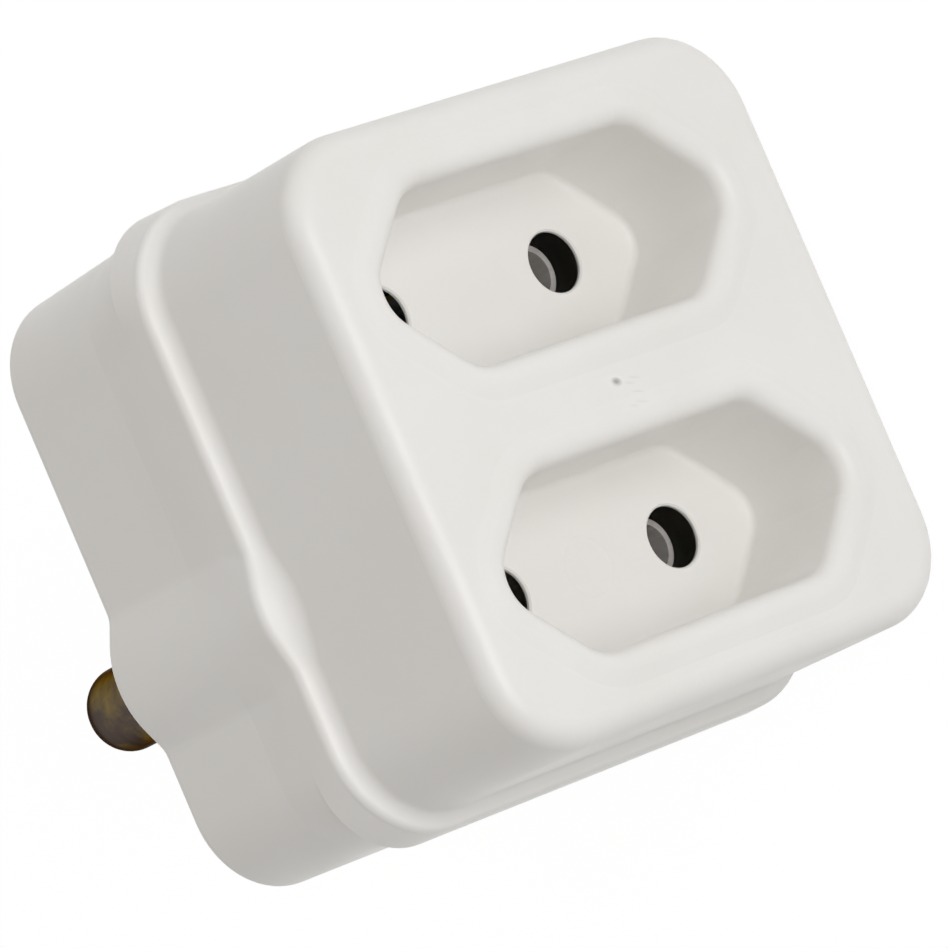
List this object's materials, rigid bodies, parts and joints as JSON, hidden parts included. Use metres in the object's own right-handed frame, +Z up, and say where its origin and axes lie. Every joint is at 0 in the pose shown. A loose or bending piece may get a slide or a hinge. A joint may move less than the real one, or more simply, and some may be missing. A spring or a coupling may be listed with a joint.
{
  "type": "multi socket adapter",
  "caption": "Moulded cube adapter with two flat-plug socket wells on the front and round plug pins, with a longer earth pin, on the back.",
  "frame": {"origin": "centre of the rear mating face, which meets the wall outlet", "axes": "+X across the two sockets, +Y into the wall along the plug pins, +Z up towards the earth pin"},
  "size_m": [0.0522, 0.0595, 0.0528],
  "materials": {
    "cover_plastic": "warm white moulded plastic, soft gloss",
    "housing_plastic": "warm white moulded plastic, soft gloss",
    "carrier_plastic": "black heat-resistant moulding",
    "pin_brass": "turned brass with a dark brown tarnish",
    "contact_brass": "pressed brass strip",
    "sleeve_plating": "nickel-plated, dull grey",
    "spring_steel": "blued spring steel",
    "screw_steel": "zinc-plated"
  },
  "bodies": {
    "root": {"front_cover": "cover_plastic", "plug_housing": "housing_plastic", "contact_carrier": "carrier_plastic", "line_pin": "pin_brass", "neutral_pin": "pin_brass", "earth_pin": "pin_brass", "line_strip": "contact_brass", "neutral_strip": "contact_brass", "contact_sleeve_upper_left": "sleeve_plating", "grip_spring_upper_left": "spring_steel", "contact_sleeve_lower_left": "sleeve_plating", "grip_spring_lower_left": "spring_steel", "contact_sleeve_upper_right": "sleeve_plating", "grip_spring_upper_right": "spring_steel", "contact_sleeve_lower_right": "sleeve_plating", "grip_spring_lower_right": "spring_steel", "casing_screws": "screw_steel"}
  },
  "joints": []
}
